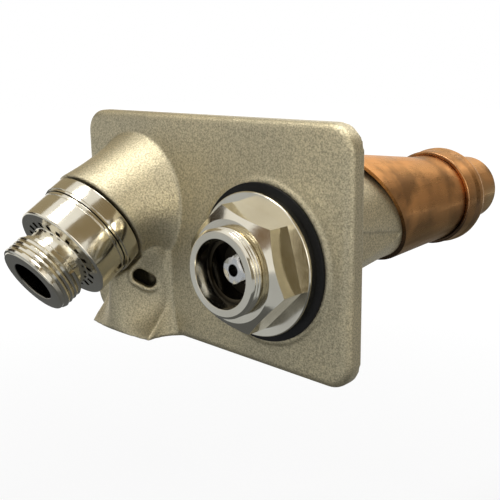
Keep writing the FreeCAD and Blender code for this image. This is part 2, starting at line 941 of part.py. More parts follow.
os.makedirs("parts", exist_ok=True)
for name, make in pieces.items():
    shape = make()
    shape.exportStep("parts/" + name + ".step")
    print(name, "valid" if shape.isValid() else "NOT VALID", len(shape.Solids), round(shape.Volume, 1))
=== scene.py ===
import bpy
import bmesh
import json
import math
from mathutils import Matrix, Vector
from mathutils.bvhtree import BVHTree


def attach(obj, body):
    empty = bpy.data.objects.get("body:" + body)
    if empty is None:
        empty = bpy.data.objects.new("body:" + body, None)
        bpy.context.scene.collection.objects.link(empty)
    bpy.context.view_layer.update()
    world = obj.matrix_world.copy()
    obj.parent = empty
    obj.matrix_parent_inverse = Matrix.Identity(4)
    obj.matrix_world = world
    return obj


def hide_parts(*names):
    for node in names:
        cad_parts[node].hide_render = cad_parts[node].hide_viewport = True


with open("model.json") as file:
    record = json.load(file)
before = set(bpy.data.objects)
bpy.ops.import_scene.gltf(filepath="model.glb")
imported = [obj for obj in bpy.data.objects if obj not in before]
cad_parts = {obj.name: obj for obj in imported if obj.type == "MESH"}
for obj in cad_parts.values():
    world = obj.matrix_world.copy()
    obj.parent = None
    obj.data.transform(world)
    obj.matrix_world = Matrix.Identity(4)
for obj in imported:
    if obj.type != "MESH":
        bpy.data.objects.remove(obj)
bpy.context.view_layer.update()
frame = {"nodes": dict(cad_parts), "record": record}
nodes = frame["nodes"]
mounts = {mount["name"]: mount for mount in frame["record"]["mounts"]}
mm = 0.001
print("frame loaded:", len(nodes), "nodes")


# the lines that the turned pieces sit on come from the mounts; sizes along and round a line are in mm
hoseFromNeck = 27.2                          # from the neck's end face to the hose mount
intoWall = Vector((0, 1, 0))


def lineMatrix(origin, direction):
    zAxis = direction.normalized()
    xAxis = Vector((1, 0, 0))
    yAxis = zAxis.cross(xAxis)
    turn = Matrix((xAxis, yAxis, zAxis)).transposed().to_4x4()
    return Matrix.Translation(origin) @ turn @ Matrix.Scale(mm, 4)


def wallPoint(mountName):
    place = Vector(mounts[mountName]["pos_m"])
    return Vector((place.x, 0, place.z))     # where the mount's line meets the wall face


outletWay = Vector(mounts["hose_thread"]["axis"])
neckEnd = Vector(mounts["hose_thread"]["pos_m"]) - outletWay * hoseFromNeck * mm
stemLine = lineMatrix(wallPoint("key_mouth"), intoWall)
casingLine = lineMatrix(wallPoint("inlet_cup"), intoWall)
outletLine = lineMatrix(neckEnd, outletWay)


# a CAD node's front, back, inner and outer radius, along and round a line
def measure(nodeName, line):
    inverse = line.inverted()
    points = [inverse @ vertex.co for vertex in nodes[nodeName].data.vertices]
    along = [point.z for point in points]
    across = [point.xy.length for point in points]
    return min(along), max(along), min(across), max(across)


# small helpers for meshes
def linkObject(name, mesh, material):
    obj = bpy.data.objects.new(name, mesh)
    bpy.context.collection.objects.link(obj)
    mesh.materials.clear()
    mesh.materials.append(material)
    return obj


def softShade(mesh, angle=32):
    mesh.shade_smooth()
    mesh.set_sharp_from_angle(angle=math.radians(angle))


def roundedLoop(corners, steps=5, most=0.48):
    # corners are (radius, distance, rounding); each rounded corner becomes an arc
    # and takes at most this share of the edges beside it
    loop = []
    count = len(corners)
    for index, (radius, distance, rounding) in enumerate(corners):
        here = Vector((radius, distance))
        if rounding <= 0:
            loop.append(here)
            continue
        before = Vector(corners[index - 1][:2]) - here
        after = Vector(corners[(index + 1) % count][:2]) - here
        half = before.angle(after) / 2
        reach = min(rounding / math.tan(half), before.length * most, after.length * most)
        arc = reach * math.tan(half)
        middle = here + (before.normalized() + after.normalized()).normalized() * (arc / math.sin(half))
        start = here + before.normalized() * reach - middle
        end = here + after.normalized() * reach - middle
        for step in range(steps + 1):
            spread = start.lerp(end, step / steps)
            loop.append(middle + spread.normalized() * arc)
    return loop


def ringMesh(name, rings, line, segments, weld=0.0005):
    # rings are lists of points round the axis; the last joins the first
    bm = bmesh.new()
    rows = [[bm.verts.new(point) for point in ring] for ring in rings]
    for index, row in enumerate(rows):
        nextRow = rows[(index + 1) % len(rows)]
        for side in range(segments):
            other = (side + 1) % segments
            bm.faces.new((row[side], row[other], nextRow[other], nextRow[side]))
    bmesh.ops.remove_doubles(bm, verts=bm.verts, dist=weld)
    bmesh.ops.recalc_face_normals(bm, faces=bm.faces)
    mesh = bpy.data.meshes.new(name)
    bm.to_mesh(mesh)
    bm.free()
    mesh.transform(line)
    return mesh


def turnedMesh(name, corners, line, segments=160):
    angles = [2 * math.pi * side / segments for side in range(segments)]
    rings = [[(p.x * math.cos(a), p.x * math.sin(a), p.y) for a in angles] for p in roundedLoop(corners)]
    mesh = ringMesh(name, rings, line, segments)
    softShade(mesh)
    return mesh


def copyNode(nodeName, weld=0.000002):
    mesh = nodes[nodeName].data.copy()
    bm = bmesh.new()
    bm.from_mesh(mesh)
    bmesh.ops.remove_doubles(bm, verts=bm.verts, dist=weld)   # the CAD triangles are loose
    bm.to_mesh(mesh)
    bm.free()
    return mesh


def bakeModifiers(obj):
    depsgraph = bpy.context.evaluated_depsgraph_get()
    mesh = bpy.data.meshes.new_from_object(obj.evaluated_get(depsgraph))
    obj.modifiers.clear()
    obj.data = mesh
    return mesh


def standFor(obj, body, nodeName):
    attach(obj, body)
    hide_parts(nodeName)


# small helpers for node trees
def addNode(tree, kind, inputs=None, **settings):
    node = tree.nodes.new(kind)
    for key, value in settings.items():
        setattr(node, key, value)
    for key, value in (inputs or {}).items():
        node.inputs[key].default_value = value
    return node


def newGroup(name, kind, ins, outs):
    tree = bpy.data.node_groups.new(name, kind)
    for label, socketType, value in ins:
        socket = tree.interface.new_socket(label, in_out="INPUT", socket_type=socketType)
        if value is not None:
            socket.default_value = value
    for label, socketType in outs:
        tree.interface.new_socket(label, in_out="OUTPUT", socket_type=socketType)
    return tree, tree.nodes.new("NodeGroupInput"), tree.nodes.new("NodeGroupOutput")


# grain: fine pits of a surface and a slow drift of its tone, both 0 to 1
def makeGrainGroup():
    tree, into, out = newGroup("surfaceGrain", "ShaderNodeTree", [
        ("Fine Scale", "NodeSocketFloat", 1500.0),
        ("Slow Scale", "NodeSocketFloat", 35.0),
        ("Softness", "NodeSocketFloat", 0.5),
    ], [("Height", "NodeSocketFloat"), ("Tone", "NodeSocketFloat")])
    place = addNode(tree, "ShaderNodeTexCoord")
    fine = addNode(tree, "ShaderNodeTexNoise", {"Detail": 4.0})
    slow = addNode(tree, "ShaderNodeTexNoise", {"Detail": 3.0})
    tree.links.new(place.outputs["Object"], fine.inputs["Vector"])
    tree.links.new(place.outputs["Object"], slow.inputs["Vector"])
    tree.links.new(into.outputs["Fine Scale"], fine.inputs["Scale"])
    tree.links.new(into.outputs["Softness"], fine.inputs["Roughness"])
    tree.links.new(into.outputs["Slow Scale"], slow.inputs["Scale"])
    tone = addNode(tree, "ShaderNodeMapRange", {"From Min": 0.35, "From Max": 0.65})
    tree.links.new(slow.outputs["Fac"], tone.inputs["Value"])
    tree.links.new(fine.outputs["Fac"], out.inputs["Height"])
    tree.links.new(tone.outputs["Result"], out.inputs["Tone"])
    return tree


# rubbed: streaks along one direction, from polishing, drawing or turning
def makeStreakGroup():
    tree, into, out = newGroup("rubbedStreaks", "ShaderNodeTree", [
        ("Stretch", "NodeSocketVector", (400.0, 30.0, 400.0)),
        ("Low", "NodeSocketFloat", 0.1),
        ("High", "NodeSocketFloat", 0.25),
    ], [("Roughness", "NodeSocketFloat"), ("Mask", "NodeSocketFloat")])
    place = addNode(tree, "ShaderNodeTexCoord")
    stretch = addNode(tree, "ShaderNodeVectorMath", operation="MULTIPLY")
    streak = addNode(tree, "ShaderNodeTexNoise", {"Scale": 1.0, "Detail": 5.0, "Roughness": 0.6})
    spread = addNode(tree, "ShaderNodeMapRange", {"From Min": 0.3, "From Max": 0.7})
    tree.links.new(place.outputs["Object"], stretch.inputs[0])
    tree.links.new(into.outputs["Stretch"], stretch.inputs[1])
    tree.links.new(stretch.outputs["Vector"], streak.inputs["Vector"])
    tree.links.new(streak.outputs["Fac"], spread.inputs["Value"])
    tree.links.new(into.outputs["Low"], spread.inputs["To Min"])
    tree.links.new(into.outputs["High"], spread.inputs["To Max"])
    tree.links.new(spread.outputs["Result"], out.inputs["Roughness"])
    tree.links.new(streak.outputs["Fac"], out.inputs["Mask"])
    return tree


grainGroup = makeGrainGroup()
streakGroup = makeStreakGroup()


def startMaterial(name, metallic, specular=0.3):
    material = bpy.data.materials.new(name)
    material.use_nodes = True
    tree = material.node_tree
    shader = tree.nodes["Principled BSDF"]
    shader.inputs["Metallic"].default_value = metallic
    shader.inputs["Specular IOR Level"].default_value = specular
    return material, tree, shader


def placeGroup(tree, group, **values):
    node = addNode(tree, "ShaderNodeGroup", node_tree=group)
    for key, value in values.items():
        node.inputs[key.replace("_", " ")].default_value = value
    return node


def mixColours(tree, factor, first, second):
    mix = addNode(tree, "ShaderNodeMix", data_type="RGBA")
    tree.links.new(factor, mix.inputs["Factor"])
    for index, colour in ((6, first), (7, second)):
        if hasattr(colour, "is_linked"):
            tree.links.new(colour, mix.inputs[index])
        else:
            mix.inputs[index].default_value = (*colour, 1.0)
    return mix.outputs[2]


def bumpFrom(tree, height, strength, distance, shader):
    bump = addNode(tree, "ShaderNodeBump", {"Strength": strength, "Distance": distance})
    tree.links.new(height, bump.inputs["Height"])
    tree.links.new(bump.outputs["Normal"], shader.inputs["Normal"])


def ranged(tree, value, low, high, fromLow=0.3, fromHigh=0.7):
    node = addNode(tree, "ShaderNodeMapRange", {"From Min": fromLow, "From Max": fromHigh,
                                                "To Min": low, "To Max": high})
    tree.links.new(value, node.inputs["Value"])
    return node.outputs["Result"]


# a metal or solid with grain in its colour, roughness and surface, and painted shade in its recesses where
# its look asks for it
def grainMaterial(name, look):
    material, tree, shader = startMaterial(name, look["metallic"], look.get("specular", 0.3))
    grain = placeGroup(tree, grainGroup, Fine_Scale=look["fine"], Slow_Scale=look["slow"],
                       Softness=look["soft"])
    drift = mixColours(tree, grain.outputs["Tone"], look["colour"], look["second"])
    speck = ranged(tree, grain.outputs["Height"], 0.0, look["speck"], *look.get("speckRange", (0.5, 0.7)))
    tint = mixColours(tree, speck, drift, look["pit"])
    # painted shade: the colour goes towards near-black where the recess attribute says the surface is closed
    # in
    if "recessShade" in look:
        deep = addNode(tree, "ShaderNodeAttribute", attribute_name="recess")
        recessShading = ranged(tree, deep.outputs["Fac"], 0.0, look["recessShadeMost"], *look["recessShadeRange"])
        tint = mixColours(tree, recessShading, tint, look["recessShade"])
    tree.links.new(tint, shader.inputs["Base Color"])
    tree.links.new(ranged(tree, grain.outputs["Height"], *look["roughness"]), shader.inputs["Roughness"])
    bumpFrom(tree, grain.outputs["Height"], look["bump"], look["depth"], shader)
    return material


# 1 inside a radius round a turned piece's line, 0 outside it
def nearLine(tree, line, radius, blur=0.15):
    way = line.col[2].to_3d().normalized()
    place = addNode(tree, "ShaderNodeTexCoord")
    across = addNode(tree, "ShaderNodeVectorMath", {1: line.translation}, operation="SUBTRACT")
    sideways = addNode(tree, "ShaderNodeVectorMath", {1: way}, operation="CROSS_PRODUCT")
    reach = addNode(tree, "ShaderNodeVectorMath", operation="LENGTH")
    tree.links.new(place.outputs["Object"], across.inputs[0])
    tree.links.new(across.outputs["Vector"], sideways.inputs[0])
    tree.links.new(sideways.outputs["Vector"], reach.inputs[0])
    return ranged(tree, reach.outputs["Value"], 1.0, 0.0, (radius - blur) * mm, (radius + blur) * mm)


# a polished or drawn metal with streaks in its roughness, a slow drift of tone and, where its look gives a
# bore, painted shade inside it
def streakMaterial(name, look):
    material, tree, shader = startMaterial(name, look["metallic"])
    streak = placeGroup(tree, streakGroup, Stretch=look["stretch"], Low=look["roughness"][0],
                        High=look["roughness"][1])
    grain = placeGroup(tree, grainGroup, Fine_Scale=look["fine"], Slow_Scale=look["slow"])
    tint = mixColours(tree, grain.outputs["Tone"], look["colour"], look["second"])
    # painted shade: the metal is dark inside the bore's radius
    if "bore" in look:
        tint = mixColours(tree, nearLine(tree, look["line"], look["bore"]), tint, look["boreShade"])
    tree.links.new(tint, shader.inputs["Base Color"])
    tree.links.new(streak.outputs["Roughness"], shader.inputs["Roughness"])
    bumpFrom(tree, grain.outputs["Height"], look["bump"], look["depth"], shader)
    return material


# finishes with grain; painted shade darkens the casting where the mesh's recess attribute is high
grainLooks = {
    "castBronze": {"metallic": 0.92, "colour": (0.73, 0.635, 0.41), "second": (0.625, 0.555, 0.375),
                   "pit": (0.26, 0.23, 0.16), "speck": 0.75, "speckRange": (0.4, 0.62),
                   "fine": 1900.0, "slow": 30.0, "soft": 0.7, "roughness": (0.32, 0.5),
                   "bump": 0.45, "depth": 0.0004,
                   "recessShade": (0.035, 0.03, 0.022), "recessShadeMost": 0.95, "recessShadeRange": (0.45, 0.95)},
    "blackRing": {"metallic": 0.0, "colour": (0.007, 0.007, 0.007), "second": (0.011, 0.011, 0.011),
                  "pit": (0.02, 0.019, 0.018), "speck": 0.3, "fine": 1600.0, "slow": 90.0, "soft": 0.5,
                  "roughness": (0.34, 0.5), "specular": 0.12, "bump": 0.1, "depth": 0.0002},
    "blackRubber": {"metallic": 0.0, "colour": (0.02, 0.02, 0.02), "second": (0.03, 0.03, 0.03),
                    "pit": (0.05, 0.05, 0.05), "speck": 0.3, "fine": 1800.0, "slow": 120.0, "soft": 0.5,
                    "roughness": (0.6, 0.8), "bump": 0.15, "depth": 0.0002},
    "whitePlastic": {"metallic": 0.0, "colour": (0.72, 0.71, 0.67), "second": (0.66, 0.65, 0.60),
                     "pit": (0.55, 0.54, 0.5), "speck": 0.2, "fine": 1500.0, "slow": 80.0, "soft": 0.5,
                     "roughness": (0.35, 0.5), "bump": 0.05, "depth": 0.0002},
    "valveCeramic": {"metallic": 0.0, "colour": (0.80, 0.78, 0.73), "second": (0.75, 0.73, 0.68),
                     "pit": (0.6, 0.58, 0.55), "speck": 0.2, "fine": 2200.0, "slow": 90.0, "soft": 0.5,
                     "roughness": (0.18, 0.3), "bump": 0.03, "depth": 0.0001},
}
chromeLook = {"metallic": 1.0, "colour": (0.78, 0.735, 0.61), "second": (0.69, 0.64, 0.52),
              "stretch": (160.0, 160.0, 160.0), "roughness": (0.09, 0.19), "fine": 700.0, "slow": 55.0,
              "bump": 0.06, "depth": 0.0002}
# finishes with streaks; a bore is the radius round a line inside which painted shade darkens the metal: in
# the bonnet's mouth, the band's groove and rear face, the spigot's bore and the stem's hole
streakLooks = {
    "bonnetChrome": {**chromeLook, "line": stemLine, "bore": 9.95, "boreShade": (0.055, 0.047, 0.034)},
    "bandChrome": {**chromeLook, "line": outletLine, "bore": 17.9, "boreShade": (0.02, 0.018, 0.014)},
    "outletChrome": {**chromeLook, "line": outletLine, "bore": 7.75, "boreShade": (0.07, 0.06, 0.045)},
    "machinedStem": {"metallic": 1.0, "colour": (0.74, 0.735, 0.71), "second": (0.66, 0.65, 0.62),
                     "stretch": (900.0, 60.0, 900.0), "roughness": (0.16, 0.32), "fine": 1400.0,
                     "slow": 90.0, "bump": 0.05, "depth": 0.0002,
                     "line": stemLine, "bore": 1.9, "boreShade": (0.03, 0.027, 0.022)},
    # painted shade: the gland nut's brass is near-black for the shade deep in the bonnet's mouth
    "shadedBrass": {"metallic": 0.8, "colour": (0.035, 0.03, 0.022), "second": (0.05, 0.042, 0.03),
                  "stretch": (60.0, 1200.0, 60.0), "roughness": (0.35, 0.55), "fine": 1200.0,
                  "slow": 70.0, "bump": 0.08, "depth": 0.0002},
    "turnedBrass": {"metallic": 1.0, "colour": (0.70, 0.53, 0.25), "second": (0.62, 0.46, 0.22),
                    "stretch": (60.0, 1200.0, 60.0), "roughness": (0.2, 0.36), "fine": 1200.0,
                    "slow": 70.0, "bump": 0.05, "depth": 0.0002},
    "drawnSteel": {"metallic": 1.0, "colour": (0.56, 0.56, 0.56), "second": (0.5, 0.5, 0.5),
                   "stretch": (700.0, 700.0, 60.0), "roughness": (0.22, 0.38), "fine": 1500.0,
                   "slow": 90.0, "bump": 0.05, "depth": 0.0002},
}
materials = {name: grainMaterial(name, look) for name, look in grainLooks.items()}
materials.update({name: streakMaterial(name, look) for name, look in streakLooks.items()})


# copper: drawn lines along the tube, darker patches, painted shade that darkens its underside, and tarnish
# towards the open end
def copperMaterial():
    look = {"bright": (0.69, 0.345, 0.137), "dull": (0.44, 0.22, 0.094), "edge": (0.92, 0.74, 0.55),
            "fine": 700.0, "slow": 45.0, "stretch": (420.0, 26.0, 420.0), "roughness": (0.2, 0.42),
            "patch": (0.2, 0.108, 0.055), "patchScale": 75.0, "patchMost": 0.8, "patchRange": (0.46, 0.64),
            "underShade": (0.085, 0.058, 0.04), "underShadeMost": 0.95, "underShadeHeights": (-0.003, 0.013),
            "tarnish": (0.40, 0.34, 0.22), "tarnishAlong": (0.090, 0.122), "tarnishShares": (0.15, 0.75),
            "tarnishTones": (0.2, 0.9), "bump": 0.12, "depth": 0.0003}
    material, tree, shader = startMaterial("copperTube", 1.0)
    grain = placeGroup(tree, grainGroup, Fine_Scale=look["fine"], Slow_Scale=look["slow"])
    streak = placeGroup(tree, streakGroup, Stretch=look["stretch"], Low=look["roughness"][0],
                        High=look["roughness"][1])
    base = mixColours(tree, grain.outputs["Tone"], look["bright"], look["dull"])
    blotch = addNode(tree, "ShaderNodeTexNoise", {"Scale": look["patchScale"], "Detail": 3.0,
                                                  "Roughness": 0.55})
    place = addNode(tree, "ShaderNodeTexCoord")
    split = addNode(tree, "ShaderNodeSeparateXYZ")
    tree.links.new(place.outputs["Object"], blotch.inputs["Vector"])
    tree.links.new(place.outputs["Object"], split.inputs["Vector"])
    patches = ranged(tree, blotch.outputs["Fac"], 0.0, look["patchMost"], *look["patchRange"])
    blotched = mixColours(tree, patches, base, look["patch"])
    # painted shade: the copper darkens towards the bottom
    below = ranged(tree, split.outputs["Z"], look["underShadeMost"], 0.0, *look["underShadeHeights"])
    underShaded = mixColours(tree, below, blotched, look["underShade"])
    towardsEnd = ranged(tree, split.outputs["Y"], 0.0, 1.0, *look["tarnishAlong"])
    share = ranged(tree, grain.outputs["Tone"], *look["tarnishShares"], *look["tarnishTones"])
    both = addNode(tree, "ShaderNodeMath", operation="MULTIPLY")
    tree.links.new(towardsEnd, both.inputs[0])
    tree.links.new(share, both.inputs[1])
    tint = mixColours(tree, both.outputs["Value"], underShaded, look["tarnish"])
    tree.links.new(tint, shader.inputs["Base Color"])
    shader.inputs["Specular Tint"].default_value = (*look["edge"], 1.0)
    tree.links.new(streak.outputs["Roughness"], shader.inputs["Roughness"])
    bumpFrom(tree, grain.outputs["Height"], look["bump"], look["depth"], shader)
    return material


materials["copperTube"] = copperMaterial()
print("materials made:", len(materials))

# every CAD node gets a finish, also those that a piece below stands for
nodeFinish = {
    "head_casting": "castBronze", "bezel_ring": "blackRing", "bonnet": "bonnetChrome",
    "breaker_inlet": "bandChrome", "breaker_outlet": "outletChrome", "casing_tube": "copperTube",
    "inlet_coupling": "copperTube", "operating_stem": "machinedStem", "gland_nut": "shadedBrass",
    "operating_rod": "turnedBrass", "cartridge_spindle": "turnedBrass", "cartridge_body": "turnedBrass",
    "valve_body": "turnedBrass", "bonnet_gasket": "blackRubber", "stem_o_rings": "blackRubber",
    "cartridge_o_ring": "blackRubber", "seat_seal": "blackRubber", "breaker_washer": "blackRubber",
    "breaker_diaphragm": "blackRubber", "stem_packing": "whitePlastic", "thrust_washer": "whitePlastic",
    "check_disc": "whitePlastic", "rotating_disc": "valveCeramic", "fixed_disc": "valveCeramic",
    "stem_pin": "drawnSteel", "check_spring": "drawnSteel",
}
for nodeName, finishName in nodeFinish.items():
    for materialSlot in nodes[nodeName].material_slots:
        materialSlot.material = materials[finishName]


# how closed in each point of a mesh is: the share of rays out of it that meet the mesh again nearby
def markRecesses(mesh, distance, rays=14, lowest=0.25, lift=0.0002):
    tree = BVHTree.FromPolygons([v.co for v in mesh.vertices], [p.vertices for p in mesh.polygons])
    golden = math.pi * (3 - math.sqrt(5))
    fan = []
    for ray in range(rays):
        height = lowest + (1 - lowest) * (ray + 0.5) / rays
        spread = math.sqrt(1 - height * height)
        fan.append(Vector((spread * math.cos(golden * ray), spread * math.sin(golden * ray), height)))
    values = []
    for vertex in mesh.vertices:
        turn = Vector((0, 0, 1)).rotation_difference(vertex.normal)
        start = vertex.co + vertex.normal * lift
        hits = sum(1 for way in fan if tree.ray_cast(start, turn @ way, distance)[0] is not None)
        values.append(hits / rays)
    mark = mesh.attributes.new("recess", "FLOAT", "POINT")
    mark.data.foreach_set("value", values)


# head casting: the CAD form, remeshed and smoothed so that its edges are as soft as a sand casting's
def makeCasting():
    casting = {"voxel": 0.00055, "smoothing": 5, "softness": 0.5, "keep": 0.55, "lookOut": 0.014}
    obj = linkObject("castingBody", copyNode("head_casting"), materials["castBronze"])
    remesh = obj.modifiers.new("remesh", "REMESH")
    remesh.mode = "VOXEL"
    remesh.voxel_size = casting["voxel"]
    smooth = obj.modifiers.new("smooth", "SMOOTH")
    smooth.factor = casting["softness"]
    smooth.iterations = casting["smoothing"]
    thin = obj.modifiers.new("thin", "DECIMATE")
    thin.ratio = casting["keep"]
    soft = bakeModifiers(obj)
    soft.shade_smooth()
    # the recess attribute sets where the casting gets its painted shade
    markRecesses(soft, casting["lookOut"])
    standFor(obj, "hydrant_body", "head_casting")
    print("casting faces:", len(soft.polygons))


makeCasting()


# flat black ring under the bonnet's flange
def makeBezel():
    bezel = {"edge": 0.25}
    front, back, inner, outer = measure("bezel_ring", stemLine)
    mesh = turnedMesh("bezelRing", [
        (inner, front, 0),
        (outer, front, bezel["edge"]),
        (outer, back, 0),
        (inner, back, 0),
    ], stemLine)
    ring = linkObject("bezelRing", mesh, materials["blackRing"])
    standFor(ring, "hydrant_body", "bezel_ring")


makeBezel()


# bonnet: flange, hexagon with a nut's chamfer, and the open mouth with its crests
def makeBonnet():
    bonnet = {"flangeFront": -10.5, "flangeEdge": 0.7, "backEdge": 0.3,
              "acrossFlats": 34.0, "hexFront": -20.2, "hexFace": 15.7, "hexTurn": 15.0, "hexCorner": 0.6,
              "hexChamfer": 30.0, "chamferInset": 0.25, "chamferDrop": 0.12,
              "mouth": 12.6, "mouthEdge": 0.45, "undercut": 0.4, "plainFront": 0.8, "plainBack": 0.5,
              "crests": 3, "crest": 13.4, "crestDepth": 0.9, "crestEdge": 0.12, "crestRoot": 0.15,
              "bore": 9.8, "boreEdge": 0.25, "boreFloor": -19.2, "gland": 8.6, "glandFloor": -12.1,
              "packing": 7.6, "packingFloor": -7.1, "collar": 9.2, "collarFloor": 0.0, "tail": 13.9,
              "segments": 240, "crease": 24}
    mouthFront, tailEnd, stemBore, flange = measure("bonnet", stemLine)
    flangeBack = measure("bezel_ring", stemLine)[0]      # the flange lies on the black ring
    segments = bonnet["segments"]
    angles = [2 * math.pi * side / segments for side in range(segments)]
    flat = bonnet["acrossFlats"] / 2

    def hexReach(angle):
        swing = (angle - math.radians(bonnet["hexTurn"])) % (math.pi / 3)
        toCorner = min(swing, math.pi / 3 - swing)       # 0 at a corner
        sharp = flat / math.cos(math.pi / 6 - toCorner)
        rounding = bonnet["hexCorner"]
        centre = (flat - rounding) / math.cos(math.pi / 6)
        side = centre * math.sin(toCorner)
        if side < rounding:
            return min(sharp, centre * math.cos(toCorner) + math.sqrt(rounding ** 2 - side ** 2))
        return sharp

    def circle(radius, distance):
        return [(radius * math.cos(a), radius * math.sin(a), distance) for a in angles]

    def hexRing(share):
        slope = math.tan(math.radians(bonnet["hexChamfer"]))
        ring = []
        for a in angles:
            reach = hexReach(a)
            chamfer = max(0.0, reach - bonnet["hexFace"]) * slope
            front = bonnet["hexFront"] + chamfer + bonnet["chamferDrop"]
            distance = front + (bonnet["flangeFront"] - front) * share
            ring.append((reach * math.cos(a), reach * math.sin(a), distance))
        return ring

    firstCrest = mouthFront + bonnet["plainFront"]
    pitch = (bonnet["hexFront"] - firstCrest) / bonnet["crests"]
    outline = [
        (bonnet["bore"], mouthFront, bonnet["boreEdge"]),
        (bonnet["mouth"], mouthFront, bonnet["mouthEdge"]),
    ]
    for number in range(bonnet["crests"]):
        start = firstCrest + pitch * number
        outline.append((bonnet["crest"], start, bonnet["crestEdge"]))
        outline.append((bonnet["crest"] - bonnet["crestDepth"], start + pitch / 2, bonnet["crestRoot"]))
    outline += [
        (bonnet["crest"], bonnet["hexFront"] - bonnet["plainBack"], bonnet["crestEdge"]),
        (bonnet["mouth"] - bonnet["undercut"], bonnet["hexFront"], 0),
        (bonnet["hexFace"] - bonnet["chamferInset"], bonnet["hexFront"], 0),
    ]
    front = [circle(p.x, p.y) for p in roundedLoop(outline)]
    sides = [hexRing(0.0), hexRing(1.0)]
    rest = [
        (flange, bonnet["flangeFront"], bonnet["flangeEdge"]),
        (flange, flangeBack, bonnet["backEdge"]),
        (bonnet["tail"], flangeBack, 0),
        (bonnet["tail"], tailEnd, 0),
        (bonnet["collar"], tailEnd, 0),
        (bonnet["collar"], bonnet["collarFloor"], 0),
        (stemBore, bonnet["collarFloor"], 0),
        (stemBore, bonnet["packingFloor"], 0),
        (bonnet["packing"], bonnet["packingFloor"], 0),
        (bonnet["packing"], bonnet["glandFloor"], 0),
        (bonnet["gland"], bonnet["glandFloor"], 0),
        (bonnet["gland"], bonnet["boreFloor"], 0),
        (bonnet["bore"], bonnet["boreFloor"], 0),
    ]
    back = [circle(p.x, p.y) for p in roundedLoop(rest)]
    mesh = ringMesh("bonnetBody", front + sides + back, stemLine, segments)
    softShade(mesh, bonnet["crease"])
    body = linkObject("bonnetBody", mesh, materials["bonnetChrome"])
    standFor(body, "hydrant_body", "bonnet")


makeBonnet()


# operating stem: the CAD form with a cone turned on its squared end
def makeStem():
    stem = {"faceRadius": 3.9, "flare": 1.41, "length": 1.3, "clear": 0.5, "cutRadius": 8.0, "segments": 96,
            "crease": 24}
    obj = linkObject("stemBody", copyNode("operating_stem"), materials["machinedStem"])
    end = measure("operating_stem", stemLine)[0]
    back = stem["faceRadius"] + stem["flare"] * stem["length"]
    front = stem["faceRadius"] - stem["flare"] * stem["clear"]
    waste = linkObject("stemWaste", turnedMesh("stemWaste", [
        (front, end - stem["clear"], 0),
        (stem["cutRadius"], end - stem["clear"], 0),
        (stem["cutRadius"], end + stem["length"], 0),
        (back, end + stem["length"], 0),
    ], stemLine, stem["segments"]), materials["machinedStem"])
    cut = obj.modifiers.new("cone", "BOOLEAN")
    cut.operation = "DIFFERENCE"
    cut.solver = "EXACT"
    cut.object = waste
    coned = bakeModifiers(obj)
    softShade(coned, stem["crease"])
    bpy.data.objects.remove(waste)
    standFor(obj, "stem_assembly", "operating_stem")


makeStem()


# vacuum breaker, rear half: the smooth band next to the casting
def makeBreakerBand():
    band = {"length": 6.4, "edge": 0.5, "gap": 0.9, "groove": 17.1, "step": 18.15, "plug": 15.35,
            "tail": 12.0}
    tailStart, plugEnd, bore, radius = measure("breaker_inlet", outletLine)
    outletRear = measure("breaker_outlet", outletLine)[0]
    mesh = turnedMesh("breakerBand", [
        (bore, tailStart, 0),
        (band["tail"], tailStart, 0),
        (band["tail"], 0, 0),
        (band["groove"], 0, 0),
        (band["groove"], band["gap"], 0),
        (radius, band["gap"], band["edge"]),
        (radius, band["length"], band["edge"]),
        (band["step"], band["length"], 0),
        (band["step"], outletRear, 0),
        (band["plug"], outletRear, 0),
        (band["plug"], plugEnd, 0),
        (bore, plugEnd, 0),
    ], outletLine)
    body = linkObject("breakerBand", mesh, materials["bandChrome"])
    standFor(body, "hydrant_body", "breaker_inlet")


makeBreakerBand()


